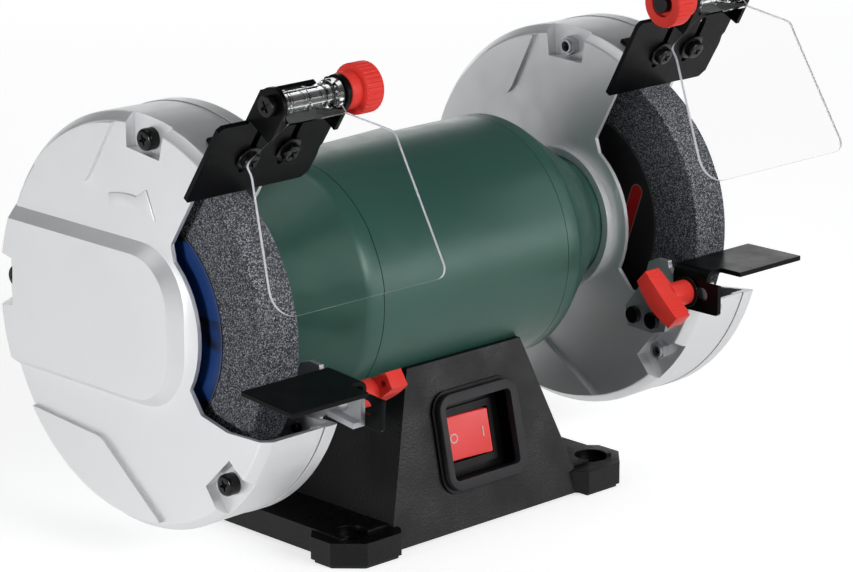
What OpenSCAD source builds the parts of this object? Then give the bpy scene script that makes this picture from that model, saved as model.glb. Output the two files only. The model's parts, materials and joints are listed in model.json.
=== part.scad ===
// Twin-wheel bench grinder for 150 mm wheels. X runs along the shaft, -Y is the user's side,
// +Z is up, and the origin lies on the bench in the middle of the four foot bolts.

/* [Shaft and wheels] */
// Height of the shaft above the bench
shaft_h = 111.5; // [105:0.5:125]
// Diameter of a grinding wheel
wheel_d = 150; // [140:1:150]
// Width of a grinding wheel
wheel_w = 20; // [16:1:20]
// Distance of a wheel's middle from the middle of the shaft
wheel_x = 133.7; // [132:0.1:135]
// Bore of a grinding wheel
wheel_bore = 20; // [16:1:20]

/* [Wheel guards] */
// Radius of a guard's band
guard_r = 91; // [90:0.5:95]
// Width of a guard from face to face
guard_w = 40.7; // [40:0.1:42]
// Distance of a guard's outer face from the middle of the shaft
guard_face = 151.2; // [150:0.1:153]
// Depth of the deep half of a guard
deep_w = 32.6; // [31:0.1:34]
// How far the right guard is turned on its neck, front edge up
right_turn = 5; // [0:1:8]
// Wall of the guards
guard_wall = 2; // [1.6:0.1:2.4]
// Height of the raised hub cover on a guard's outer half
bulge_h = 6; // [5.8:0.1:8]

/* [Motor] */
// Radius of the motor barrel
motor_r = 56.4; // [54:0.2:58]
// Half length of the motor barrel
barrel_half = 57.3; // [54:0.1:60]
// Where an end bell's rim turns into its cone
bell_rim_x = 64.3; // [62:0.1:68]
// Wall of the barrel
barrel_wall = 3; // [2.5:0.1:4]

/* [Base] */
// Half width of the front panel at its foot
panel_low_half = 57.3; // [54:0.1:60]
// Half width of the front panel at its top edge
panel_top_half = 35.5; // [32:0.1:40]
// Distance of the panel's top edge in front of the shaft
panel_top_y = 47.3; // [46:0.1:50]
// Distance of the panel's foot in front of the shaft
panel_low_y = 61.5; // [60:0.1:64]
// Height of the panel's top edge
panel_top_z = 77; // [74:0.5:80]
// Height of the base's skirt
skirt_h = 13; // [12:0.5:15]
// Half width of the skirt
skirt_half = 85.5; // [82:0.5:88]
// Half distance of the foot bolts along the shaft
foot_hole_x = 76; // [74:0.5:78]
// Half distance of the foot bolts front to back
foot_hole_y = 54; // [52:0.5:56]
// Radius of a foot bolt hole
foot_hole_r = 3.5; // [3:0.1:4]

/* [Tool rests and spark guards] */
// Depth of a tool rest's table, front to back
table_depth = 32; // [28:1:34]
// Gap between a table and its wheel
table_gap = 1.6; // [1.4:0.1:4]
// Angle of the spark guards above the horizontal
spark_angle = 57; // [55:1:60]
// Radius of a spark guard's inner edge
spark_low_r = 76.2; // [76:0.1:80]
// Radius of a spark guard's outer edge
spark_top_r = 117.8; // [112:0.1:120]

/* [Hidden] */
$fn = 96;

wheel_r = wheel_d / 2;
fit = 0.2;                          // gap between flat faces of pieces that move apart
label_t = 0.6;
flange_t = 3.5;
nut_t = 6.4;
neck_x = guard_face - guard_w;      // inner plane of a guard
band_r = guard_r - 0.8;             // radius at the face before the band widens
guard_in_r = guard_r - guard_wall;
pocket_angles = [83.5, 177, -45.6]; // guard screws, counted up from the front horizontal
pocket_r = 82.3;
pocket_half = 8;
pocket_low_r = 76.9;
pocket_d = 5;
opening_r = 42.3;
ear_low_u = 8.2;                    // ears of the shield pivot, from the guard's deep face
ear_high_u = 45.7;
ear_t = 2.2;
plate_t = 2.2;
pivot_r = 133.8;                    // pivot along the spark guard's plate
pivot_out = 8.9;                    // pivot in front of the spark guard's plane
spark_screw_r = 97;
spark_screw_u = [17.4, 39.4];
spark_back = 0.8;                   // the spark guards stand this much in front of the shaft's radius
spark_shift = 2.5;                  // and the right one this much nearer the motor
rest_tilt = 4.5;                    // front edge of a table lies this much down
table_rise = 11.3;                  // top of a table above its bolt
web_t = 2.5;
leg_t = 2.2;

// ---- helpers ----
// A flat profile drawn in front/back (x) and height (y), extruded along the shaft from x0
module across(x0, w) {
    translate([x0, 0, 0]) rotate([90, 0, 90]) linear_extrude(w) children();
}
// A cylinder along the shaft from x0
module rod(x0, len, r, y = 0, z = 0, fn = 96) {
    translate([x0, y, z]) rotate([0, 90, 0]) cylinder(r = r, h = len, $fn = fn);
}
// A hexagon prism along the shaft from x0, by its width across flats
module hex(x0, len, af, y = 0, z = 0) {
    translate([x0, y, z]) rotate([0, 90, 0]) cylinder(d = af / cos(30), h = len, $fn = 6);
}
// Points of an arc, as a list
function arc(cx, cy, r, a0, a1, n = 8) =
    [for (i = [0:n]) [cx + r * cos(a0 + (a1 - a0) * i / n), cy + r * sin(a0 + (a1 - a0) * i / n)]];
// A point at an angle above the front horizontal
function polar(r, a) = [-r * cos(a), r * sin(a)];
// A solid of revolution round the shaft, drawn as [distance along the shaft, radius]
module turned() {
    rotate([0, 90, 0]) rotate_extrude() rotate(90) mirror([0, 1, 0]) children();
}
function face_x(side) = side < 0 ? -guard_face : neck_x;
function turn(side) = side < 0 ? 0 : right_turn;
// Where a tool rest's bolt stands in its guard's frame
function rest_bolt(side) = side < 0 ? [-86, -23.6] : [-84, -26.2];
// A guard's own frame: x counts from its deep face, and the frame turns with the guard
module guard_frame(side) {
    translate([face_x(side), 0, shaft_h]) rotate([-turn(side), 0, 0]) children();
}
// What sits on the motor side of a guard: drawn for the left guard, mirrored for the right one
module motor_side(side) {
    guard_frame(side)
        translate([side < 0 ? 0 : guard_w, 0, 0]) mirror([side < 0 ? 0 : 1, 0, 0]) children();
}
// Frame of a spark guard: z outward from the shaft, y to the rear, x along the shaft
module spark_frame(side) {
    guard_frame(side) rotate([90 - spark_angle, 0, 0])
        translate([side < 0 ? 0 : -spark_shift, -spark_back, 0]) children();
}
// Frame of a shield pivot: x along its bolt, z outward
module pivot_frame(side) {
    spark_frame(side) translate([0, -pivot_out, pivot_r]) children();
}
// The same frame for what is drawn on the left guard and mirrored on the right one
module pivot_motor_side(side) {
    middle = (ear_low_u + ear_high_u) / 2;
    pivot_frame(side) translate([middle, 0, 0]) mirror([side < 0 ? 0 : 1, 0, 0]) children();
}
// A tool rest bolt's place on the guard, and the same turned with its table
module rest_place(side) {
    motor_side(side) translate([0, rest_bolt(side)[0], rest_bolt(side)[1]]) children();
}
module rest_frame(side) {
    rest_place(side) rotate([rest_tilt, 0, 0]) children();
}
// Frame of the front panel: x along the shaft, y up the panel from its foot, z out of it
module panel_frame() {
    lean = atan2(panel_low_y - panel_top_y, panel_top_z - skirt_h);
    translate([0, -panel_low_y, skirt_h]) rotate([90 - lean, 0, 0]) children();
}
module rounded(w, h, r) {
    polygon(concat(
        arc(w / 2 - r, h / 2 - r, r, 0, 90), arc(-w / 2 + r, h / 2 - r, r, 90, 180),
        arc(-w / 2 + r, -h / 2 + r, r, 180, 270), arc(w / 2 - r, -h / 2 + r, r, 270, 360)));
}

// Frame of the cable gland: z out of the sloping rear wall
module gland_frame() {
    lean = atan2(panel_low_y - panel_top_y, panel_top_z - skirt_h);
    translate([0, panel_low_y - (30 - skirt_h) * tan(lean), 30]) rotate([lean - 90, 0, 0]) children();
}

// ---- base ----
foot_outline = [
    [52, -52], [55.5, -64.3], [59.5, -69], [80, -69], [91.5, -57.5], [91.5, -45], [85.5, -39], [76, -34]
];
foot_t = 12;
pad_t = 1.6;
cover_z = 2.4;
cover_t = 1.5;
panel_mid = 28;          // middle of the switch, up the panel
recess_w = 41;
recess_h = 34.6;
surround_w = 49;
surround_h = 44;
recess_d = 8.5;
bezel_h = 3.8;
rocker_h = 20.2;
base_screw = [66, 47];
module four_corners() {
    for (sx = [0, 1]) for (sy = [0, 1]) mirror([sx, 0, 0]) mirror([0, sy, 0]) children();
}
// The pedestal: a trapezoid seen from the front, another seen from the side
module pedestal(inset, low, top) {
    grow = (panel_low_half - panel_top_half) / (panel_top_z - skirt_h);
    lean = (panel_low_y - panel_top_y) / (panel_top_z - skirt_h);
    low_half = panel_low_half - inset;
    low_y = panel_low_y - inset;
    intersection() {
        translate([0, 80, 0]) rotate([90, 0, 0]) linear_extrude(160) polygon([
            [-low_half - 0.01, low], [low_half + 0.01, low], [low_half, skirt_h],
            [low_half - grow * (top - skirt_h), top], [-low_half + grow * (top - skirt_h), top],
            [-low_half, skirt_h]]);
        across(-80, 160) polygon([
            [-low_y - lean * (skirt_h - low), low], [low_y + lean * (skirt_h - low), low],
            [low_y - lean * (top - skirt_h), top], [-low_y + lean * (top - skirt_h), top]]);
    }
}
module base_housing() {
    color("#232426") difference() {
        union() {
            pedestal(0, pad_t, panel_top_z);
            translate([-skirt_half, -panel_low_y + 3, pad_t])
                cube([2 * skirt_half, 2 * panel_low_y - 6, skirt_h - pad_t]);
            four_corners() translate([0, 0, pad_t]) linear_extrude(foot_t - pad_t) polygon(foot_outline);
        }
        pedestal(3, -1, panel_top_z - 3);
        translate([-skirt_half + 26, -panel_low_y + 6, -1])
            cube([2 * skirt_half - 52, 2 * panel_low_y - 12, skirt_h - 2]);
        translate([-skirt_half + 3, -30, -1]) cube([2 * skirt_half - 6, 60, skirt_h - 2]);
        translate([-base_screw[0] - 6, -base_screw[1] - 6, -1])
            cube([2 * base_screw[0] + 12, 2 * base_screw[1] + 12, cover_z + cover_t + 1.05]);
        translate([0, 0, shaft_h]) rod(-90, 180, motor_r);
        panel_frame() translate([0, panel_mid, -12]) linear_extrude(20) rounded(46, 41, 6.5);
        four_corners() translate([foot_hole_x, -foot_hole_y, -1]) cylinder(r = foot_hole_r, h = 20);
        four_corners() translate([foot_hole_x, -foot_hole_y, foot_t - 2.5]) cylinder(r = 7.5, h = 20);
        four_corners() translate([base_screw[0], -base_screw[1], 0]) cylinder(r = 1.5, h = 10);
        gland_frame() translate([0, 0, -6]) cylinder(r = 8, h = 12);
    }
}
module bottom_cover() {
    color("#3a3b3d") difference() {
        translate([-base_screw[0] - 5.5, -base_screw[1] - 5.5, cover_z])
            cube([2 * base_screw[0] + 11, 2 * base_screw[1] + 11, cover_t]);
        four_corners() translate([base_screw[0], -base_screw[1], 0]) cylinder(r = 1.8, h = 10);
        for (i = [-4:4]) translate([i * 9 - 1.5, -22, 0]) cube([3, 44, 10]);
    }
}
module cover_screws() {
    color("#8d9094") four_corners() translate([base_screw[0], -base_screw[1], 0]) {
        translate([0, 0, 0.6]) cylinder(r = 3, h = cover_z - 0.6);
        translate([0, 0, cover_z]) cylinder(r = 1.5, h = 7.5);
    }
}
module rubber_feet() {
    color("#151515") four_corners() difference() {
        linear_extrude(pad_t) polygon([
            [60, -54], [60, -67.5], [79.4, -67.5], [90, -56.9], [90, -46], [86, -41], [72, -41]]);
        translate([foot_hole_x, -foot_hole_y, -1]) cylinder(r = foot_hole_r, h = 5);
        translate([base_screw[0], -base_screw[1], -1]) cylinder(r = 3.6, h = 5);
    }
}
module switch_surround() {
    color("#45474a") panel_frame() translate([0, panel_mid, 0]) difference() {
        union() {
            translate([1.2, 0, 0]) linear_extrude(bezel_h) rounded(surround_w, surround_h, 8);
            translate([0, 0, -recess_d]) linear_extrude(recess_d) rounded(45.8, 40.8, 6.4);
        }
        translate([0.6, 0, -recess_d + 1.8]) linear_extrude(20) rounded(recess_w, recess_h, 2.5);
        translate([0, 0, -recess_d - 1]) linear_extrude(20) square([27.6, 22.6], center = true);
    }
}
module switch_body() {
    floor_z = -recess_d + 1.8;
    color("#101112") panel_frame() translate([0, panel_mid, 0]) difference() {
        union() {
            translate([0, 0, floor_z]) linear_extrude(2) rounded(31, 28, 1.5);
            translate([0, 0, floor_z - 16]) linear_extrude(16) square([27.4, 22.4], center = true);
            for (sx = [-1, 1]) for (sy = [-1, 1]) translate([sx * 7 - 0.4, sy * 6 - 3, floor_z - 24])
                cube([0.8, 6, 8.5]);
        }
        translate([0, 0, floor_z - 9]) linear_extrude(20) square([26.6, 21.4], center = true);
    }
}
rocker_pivot = -recess_d - 3;
rocker_lift = 6.3;
// Rocker key, dished about its middle; at rest the left half is pressed in
module switch_rocker() {
    color("#d8372f") panel_frame() translate([0, panel_mid, rocker_pivot]) rotate([90, 0, 0])
        translate([0, 0, -rocker_h / 2]) linear_extrude(rocker_h) rotate(8) polygon([
            [-12.3, rocker_lift - 3], [-11.8, rocker_lift + 0.9], [-6, rocker_lift + 0.2], [0, rocker_lift],
            [6, rocker_lift + 0.2], [11.8, rocker_lift + 0.9], [12.3, rocker_lift - 3],
            [3, -2.5], [-3, -2.5]]);
}
module run_capacitor() {
    color("#9aa0a6") {
        translate([-24, 22, 24]) rotate([0, 90, 0]) cylinder(r = 15, h = 48);
        for (sy = [16, 28]) translate([24, sy - 3, 23.6]) cube([8, 6, 0.8]);
    }
}
module terminal_block() {
    color("#e6e3da") difference() {
        translate([-30, -20, cover_z + cover_t]) cube([24, 16, 11]);
        for (i = [0:2]) translate([-26 + i * 8, -12, 6]) cylinder(r = 2, h = 20, $fn = 24);
    }
}
module cable_gland() {
    color("#1c1c1e") gland_frame() difference() {
        union() {
            translate([0, 0, -12]) cylinder(r = 7.9, h = 13);
            translate([0, 0, 0]) cylinder(r = 11, h = 5, $fn = 6);
            translate([0, 0, 5]) cylinder(r1 = 9.5, r2 = 7, h = 9);
            translate([0, 0, -6.6]) cylinder(r = 10, h = 3.4, $fn = 6);
        }
        translate([0, 0, -20]) cylinder(r = 3.5, h = 40);
    }
}

// ---- motor ----
bell_cone_x = 100;       // where the cone runs into the neck
bell_cone_r = 33;
neck_r = 30;
bearing_x = 86;
bearing_w = 11;
bearing_r = 17.5;
bearing_bore = 7.5;
tie_angles = [128, 180, 232, -62];
tie_r = 50.4;
stator_half = 30;
stator_r = motor_r - barrel_wall;
module motor_barrel() {
    color("#2f5a48") translate([0, 0, shaft_h]) difference() {
        rod(-barrel_half, 2 * barrel_half, motor_r);
        rod(-barrel_half - 1, 2 * barrel_half + 2, stator_r);
        translate([0, 0, -motor_r - 1]) cylinder(r = 7, h = 12);
    }
}
// End bell of one side; x counts outward from the middle of the shaft
module end_bell(side) {
    edge = [[barrel_half + 0.3, motor_r], [bell_rim_x, motor_r], [bell_rim_x + 3, motor_r - 1.6],
        [bell_cone_x, bell_cone_r]];
    color("#2f5a48") translate([0, 0, shaft_h]) mirror([side < 0 ? 1 : 0, 0, 0]) difference() {
        union() {
            turned() polygon(concat(edge,
                [[bell_cone_x + 2.5, neck_r], [neck_x, neck_r], [neck_x, 11], [bearing_x + bearing_w, 11],
                 [bearing_x + bearing_w, bearing_r], [bearing_x, bearing_r], [bearing_x, bearing_r + 4],
                 [bearing_x + 6, bearing_r + 6], [bell_rim_x, motor_r - 6], [barrel_half + 1, motor_r - 6.5],
                 [barrel_half - 5, motor_r - 5.2], [barrel_half - 5, stator_r], [barrel_half + 0.3, stator_r]]));
            intersection() {
                turned() polygon(concat(edge, [[bell_cone_x, 10], [barrel_half + 0.3, 10]]));
                at_tie_bolts(barrel_half + 0.3, 14, 5.6, 32);
            }
        }
        at_tie_bolts(barrel_half - 6, 30, 2, 24);
        at_tie_bolts(65.5, 30, 4, 32);
        rotate([-turn(side), 0, 0]) for (a = [45, 135, 225, 315])
            rod(neck_x - 12, 13, 1.9, 22 * cos(a), 22 * sin(a), 24);
    }
}
module at_tie_bolts(x0, len, r, fn) {
    for (a = tie_angles) {
        p = polar(tie_r, a);
        rod(x0, len, r, p[0], p[1], fn);
    }
}
module stator_core() {
    color("#7d8084") translate([0, 0, shaft_h]) difference() {
        rod(-stator_half, 2 * stator_half, stator_r);
        at_tie_bolts(-stator_half - 1, 2 * stator_half + 2, 2, 24);
        across(-stator_half - 1, 2 * stator_half + 2) {
            circle(r = 31);
            for (i = [0:15]) rotate(i * 22.5) translate([28, -2.2]) square([14.5, 4.4]);
        }
    }
}
module stator_windings() {
    color("#b06a2c") translate([0, 0, shaft_h]) for (s = [0, 1]) mirror([s, 0, 0])
        turned() polygon([[31, 34], [44, 36], [46, 40], [44, 45], [31, 47.5]]);
}
module tie_bolts() {
    color("#55585c") translate([0, 0, shaft_h]) difference() {
        union() {
            at_tie_bolts(-66, 132, 1.9, 24);
            for (s = [0, 1]) mirror([s, 0, 0]) at_tie_bolts(65.6, 3, 3.5, 32);
        }
        for (s = [0, 1]) mirror([s, 0, 0]) at_tie_bolts(67, 3, 1.5, 6);
    }
}
module bearing(side) {
    color("#b9bcc0") translate([0, 0, shaft_h]) mirror([side < 0 ? 1 : 0, 0, 0]) difference() {
        rod(bearing_x, bearing_w, bearing_r);
        rod(bearing_x - 1, bearing_w + 2, bearing_bore + 0.05);
        for (s = [bearing_x - 0.1, bearing_x + bearing_w - 0.9]) difference() {
            rod(s, 1, 14.5);
            rod(s - 1, 3, 10.5);
        }
    }
}
flange_x = wheel_x - wheel_w / 2 - label_t;   // inner flange's clamping face
outer_x = wheel_x + wheel_w / 2 + label_t;    // outer flange's clamping face
module shaft() {
    color("#c3c6c9") translate([0, 0, shaft_h]) for (s = [0, 1]) mirror([s, 0, 0]) {
        rod(0, bearing_x - 1, 9.5);
        rod(bearing_x - 1, 26, bearing_bore);
        rod(bearing_x + 25, outer_x + flange_t + nut_t + 0.6 - bearing_x - 25, 6);
    }
}
module rotor_core() {
    color("#85888c") translate([0, 0, shaft_h]) difference() {
        rod(-stator_half, 2 * stator_half, 30.4);
        rod(-stator_half - 1, 2 * stator_half + 2, 9.5);
    }
}
module inner_flange(side) {
    color("#a9acb0") translate([0, 0, shaft_h]) mirror([side < 0 ? 1 : 0, 0, 0]) difference() {
        union() {
            rod(bearing_x + 25, flange_x - 4 - bearing_x - 25, 11);
            rod(flange_x - 4, 4, 25);
            rod(flange_x, 9, wheel_bore / 2);
        }
        rod(bearing_x + 24, 60, 6);
        difference() {
            rod(flange_x - 1, 2, 20);
            rod(flange_x - 2, 4, wheel_bore / 2);
        }
    }
}
module wheel(side) {
    color("#74777b") translate([0, 0, shaft_h]) mirror([side < 0 ? 1 : 0, 0, 0]) difference() {
        rod(wheel_x - wheel_w / 2, wheel_w, wheel_r);
        rod(wheel_x - wheel_w / 2 - 1, wheel_w + 2, wheel_bore / 2);
    }
}
module label(side) {
    color(side < 0 ? "#1d4f9c" : "#1a1a1c") translate([0, 0, shaft_h]) mirror([side < 0 ? 1 : 0, 0, 0])
        for (x = [flange_x, wheel_x + wheel_w / 2]) difference() {
            rod(x, label_t, 49.5);
            rod(x - 1, label_t + 2, wheel_bore / 2);
        }
}
module outer_flange(side) {
    color("#a9acb0") translate([0, 0, shaft_h]) mirror([side < 0 ? 1 : 0, 0, 0]) difference() {
        rod(outer_x, flange_t, 25);
        rod(outer_x - 1, flange_t + 2, 6);
        rod(outer_x - 0.1, 0.9, 20);
    }
}
module shaft_nut(side) {
    color("#8d9094") translate([0, 0, shaft_h]) mirror([side < 0 ? 1 : 0, 0, 0]) difference() {
        hex(outer_x + flange_t, nut_t, 18);
        rod(outer_x, 20, 6);
    }
}

// ---- guards, in the guard frame ----
rim_round = 4.5;
opening = concat(
    [polar(120, spark_angle), polar(47, spark_angle), polar(opening_r, 50)],
    arc(0, 0, opening_r, 140, 211, 10),
    [[-43.2, -31.2], [-60, -35], [-120, -33]]);
module opening_cut() {
    across(-20, guard_w + 40) polygon(opening);
}
// Everything within half an angle of a screw, from the pocket's inner edge outward
module pocket_shape(low_r, half, margin) {
    for (a = pocket_angles) {
        polygon([polar(low_r, a + half), polar(low_r, a - half),
                 polar(110, a - half - margin), polar(110, a + half + margin)]);
    }
}
module pockets(x0, depth, low_r, half) {
    across(x0, depth) pocket_shape(low_r, half, 0);
}
// Outline of the raised hub cover, which runs out to the rear of the guard
module bulge_outline(shrink, reach) {
    top = 37.5 - shrink;
    low = -35.5 + shrink;
    front = -33.5 + shrink;
    corner = 27 - shrink;
    intersection() {
        circle(r = reach);
        polygon(concat(
            [[95, top]], arc(front + corner, top - corner, corner, 90, 180, 8),
            arc(front + corner, low + corner, corner, 180, 270, 8), [[95, low]]));
    }
}
module bulge(grow, shrink, base_x, reach) {
    hull() {
        across(base_x, 0.5) bulge_outline(shrink, reach);
        across(-grow, 0.5) bulge_outline(shrink + 4.6, reach - 4);
    }
}
// Raised corner panels above and below the hub cover
module corner_panels() {
    across(-2, 2.4) intersection() {
        circle(r = 86.9);
        union() {
            polygon([[95, 60.2], [31.8, 56.8], [29, 57.6], [25.9, 60.7], [10.2, 85.7], [5, 95], [95, 95]]);
            polygon([[95, -50.2], [24.4, -55.4], [22, -56], [20, -57], [-15.2, -83.9], [-25, -92], [95, -95]]);
        }
    }
}
rim_r = guard_r + 0.3;              // radius just behind the rounded edge of a guard's deep face
module deep_outer() {
    turned() polygon([
        [0, 0], [0, rim_r - 4.2], [0.6, rim_r - 3.1], [3.4, rim_r - 0.5], [4.6, rim_r], [20, guard_r],
        [deep_w, guard_r - 0.2], [deep_w, 0]]);
}
module deep_inner() {
    difference() {
        turned() polygon([[guard_wall, 0], [guard_wall, band_r - rim_round], [rim_round + 1, band_r - guard_wall],
                 [deep_w + 1, guard_in_r - 0.2], [deep_w + 1, 0]]);
        pockets(-1, pocket_d + 2.6, pocket_low_r - 1.2, pocket_half + 1.6);
    }
}
module screw_holes(r) {
    for (a = pocket_angles) {
        p = polar(pocket_r, a);
        rod(-20, 90, r, p[0], p[1], 24);
    }
}
// Deep half of a guard, without its centre
module deep_shell() {
    difference() {
        union() {
            deep_outer();
            corner_panels();
            children();
        }
        deep_inner();
        pockets(-8, pocket_d + 8, pocket_low_r, pocket_half);
        screw_holes(2.6);
        opening_cut();
    }
}
shallow_x = deep_w + 0.5;
module shallow_shell() {
    difference() {
        union() {
            turned() polygon([[shallow_x, 0], [shallow_x, guard_r + 0.2], [guard_w - 1, guard_r + 0.2],
                [guard_w, guard_r - 0.8], [guard_w, 0]]);
            turned() polygon([[shallow_x - 4, guard_in_r - 2.4], [shallow_x - 4, guard_in_r - 0.5],
                [shallow_x + 1, guard_in_r - 0.5], [shallow_x + 1, guard_in_r - 2.4]]);
            children();
        }
        turned() polygon([[shallow_x - 1, 0], [shallow_x - 1, guard_in_r - 2.4],
            [guard_w - guard_wall - 1, guard_in_r - 2.4], [guard_w - guard_wall, band_r - rim_round],
            [guard_w - guard_wall, 0]]);
        screw_holes(2.6);
        opening_cut();
    }
}
module neck_hole(x0) {
    rod(x0, 12, 12.5);
    for (a = [45, 135, 225, 315]) rod(x0, 12, 2.1, 22 * cos(a), 22 * sin(a), 24);
}
// Round ridge on a guard's motor side, just outside the neck
module neck_ridge(x0, h) {
    difference() {
        rod(x0, h, 34);
        rod(x0 - 1, h + 2, neck_r + 0.4);
    }
}
module left_guard_cover() {
    color("#c9cacc") guard_frame(-1) difference() {
        deep_shell() bulge(bulge_h, 0, 0.4, 88.5);
        bulge(bulge_h - 1.6, 2.2, guard_wall, 74);
    }
}
module left_guard_inner() {
    color("#c9cacc") guard_frame(-1) difference() {
        shallow_shell() neck_ridge(guard_w - 1, 4);
        neck_hole(guard_w - 6);
    }
}
module right_guard_inner() {
    color("#c9cacc") guard_frame(1) difference() {
        deep_shell() neck_ridge(-3.5, 4);
        neck_hole(-4);
    }
}
module right_guard_cover() {
    color("#c9cacc") guard_frame(1) difference() {
        shallow_shell() translate([guard_w, 0, 0]) mirror([1, 0, 0]) bulge(bulge_h, 0, 0.4, 88.5);
        translate([guard_w, 0, 0]) mirror([1, 0, 0]) bulge(bulge_h - 1.6, 2.2, guard_wall, 74);
        for (a = pocket_angles) {
            p = polar(pocket_r, a);
            rod(guard_w, 8, 5.8, p[0], p[1], 48);
        }
    }
}
// Each guard's screws run from its outer half to nuts on its motor side
module guard_screws() {
    color("#18191a") {
        guard_frame(-1) for (a = pocket_angles) guard_screw(a, pocket_d, -1, guard_w + 4.6 - pocket_d);
        guard_frame(1) for (a = pocket_angles) guard_screw(a, guard_w, 1, guard_w - 1.2);
    }
}
module guard_screw(a, seat, way, len) {
    p = polar(pocket_r, a);
    difference() {
        union() {
            rod(way < 0 ? seat : seat - len, len, 2.4, p[0], p[1], 24);
            rod(way < 0 ? seat - 5.4 : seat, 5.4, 4.6, p[0], p[1], 32);
        }
        for (q = [0, 90]) translate([seat + way * 5.4, p[0], p[1]]) rotate([q + 20, 0, 0])
            cube([3, 5, 1.1], center = true);
    }
}
module guard_nut(a, x0) {
    p = polar(pocket_r, a);
    difference() {
        union() {
            hex(x0, 4, 8, p[0], p[1]);
            rod(x0 < 20 ? x0 - 1.2 : x0 + 4, 1.2, 3.4, p[0], p[1], 24);
        }
        rod(x0 - 5, 14, 2.4, p[0], p[1], 24);
    }
}
module guard_nuts() {
    color("#9da0a4") {
        guard_frame(-1) for (a = pocket_angles) guard_nut(a, guard_w);
        guard_frame(1) for (a = pocket_angles) guard_nut(a, pocket_d - 4);
    }
}
// Screws that hold the guards on the motor's necks, from the wheel side
module neck_screws() {
    color("#6d7074") for (side = [-1, 1]) motor_side(side) for (a = [45, 135, 225, 315]) {
        rod(guard_w - guard_wall - 2.4, 2.4, 3.6, 22 * cos(a), 22 * sin(a), 24);
        rod(guard_w - guard_wall, 10, 1.85, 22 * cos(a), 22 * sin(a), 24);
    }
}

// ---- spark guards and eye shields ----
plate_low_u = -7;
plate_high_u = 60;
slot_half = 1.8;
module spark_bracket(side) {
    color("#1b1c1e") spark_frame(side) difference() {
        union() {
            translate([11, 0.1, guard_r + 0.7]) cube([35, 2.4, 15]);
            intersection() {
                difference() {
                    rod(11, 28.5, guard_r + 2.6, spark_back, 0);
                    rod(10, 31, guard_r + 0.7, spark_back, 0);
                }
                translate([0, 0.1, 0]) cube([60, 16, 120]);
            }
        }
        for (u = spark_screw_u) translate([u, -5, spark_screw_r]) rotate([-90, 0, 0])
            cylinder(r = 1.6, h = 20, $fn = 24);
    }
}
module plate_outline() {
    polygon([
        [plate_low_u + 1, spark_low_r], [plate_high_u - 3, spark_low_r], [plate_high_u, spark_low_r + 3],
        [plate_high_u, spark_top_r - 2], [plate_high_u - 2, spark_top_r], [ear_high_u, spark_top_r],
        [ear_high_u, pivot_r + 1], [ear_low_u, pivot_r + 1], [ear_low_u, spark_top_r],
        [plate_low_u + 2, spark_top_r], [plate_low_u, spark_top_r - 2], [plate_low_u, spark_low_r + 1]]);
}
module spark_guard(side) {
    ear_half = 7.6;
    color("#1b1c1e") spark_frame(side) difference() {
        union() {
            translate([0, -fit, 0]) rotate([90, 0, 0]) linear_extrude(plate_t) plate_outline();
            for (u = [ear_low_u, ear_high_u - ear_t]) {
                rod(u, ear_t, ear_half, -pivot_out, pivot_r, 48);
                translate([u, -pivot_out - ear_half, spark_top_r + 1.4])
                    cube([ear_t, ear_half + pivot_out - fit, pivot_r - spark_top_r - 1.4]);
            }
        }
        rod(0, 60, 2.55, -pivot_out, pivot_r, 32);
        translate([ear_high_u - ear_t - 6.2, -3, pivot_r - 7]) cube([6.2, 4, 12]);
        for (u = spark_screw_u) {
            translate([u - slot_half, -10, spark_screw_r - 7]) cube([2 * slot_half, 20, 21.8]);
            for (end = [spark_screw_r - 7, spark_screw_r + 14.8])
                translate([u, -10, end]) rotate([-90, 0, 0]) cylinder(r = slot_half, h = 20, $fn = 24);
        }
    }
}
module spark_screws() {
    front = -fit - plate_t - 0.2;
    color("#111213") for (side = [-1, 1]) spark_frame(side) for (u = spark_screw_u) translate([u, 0, spark_screw_r])
        rotate([90, 0, 0]) difference() {
            union() {
                translate([0, 0, -front]) cylinder(r = 6, h = 1);
                translate([0, 0, -front + 1]) cylinder(r = 4.2, h = 3.2);
                translate([0, 0, -7.5]) cylinder(r = 1.5, h = 8 - front, $fn = 24);
                translate([0, 0, -6.4]) cylinder(d = 5.5 / cos(30), h = 3.9, $fn = 6);
            }
            for (q = [0, 90]) translate([0, 0, -front + 4.2]) rotate(q + 30) cube([4.6, 1, 3], center = true);
        }
}
shield_t = 2;
barrel_r = 4.6;
neck_len = 22.8;
neck_drop = 48;          // slopes of the shield's neck, bend and panel below the horizontal, at rest
facet_len = 5.4;
facet_drop = 79.5;
panel_len = 58.1;
panel_drop = 70;
neck_half = 16;
neck_end = [-46.1, 35.5];
facet_end = [-44, 37];
panel_end = [-50.8, 46.1];
// A flat piece of the shield, drawn with x along the pivot and y down the sheet
module sheet(outline) {
    rotate([90, 0, 0]) rotate([0, 0, 180]) translate([0, 0, -shield_t / 2])
        linear_extrude(shield_t) mirror([1, 0]) polygon(outline);
}
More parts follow.
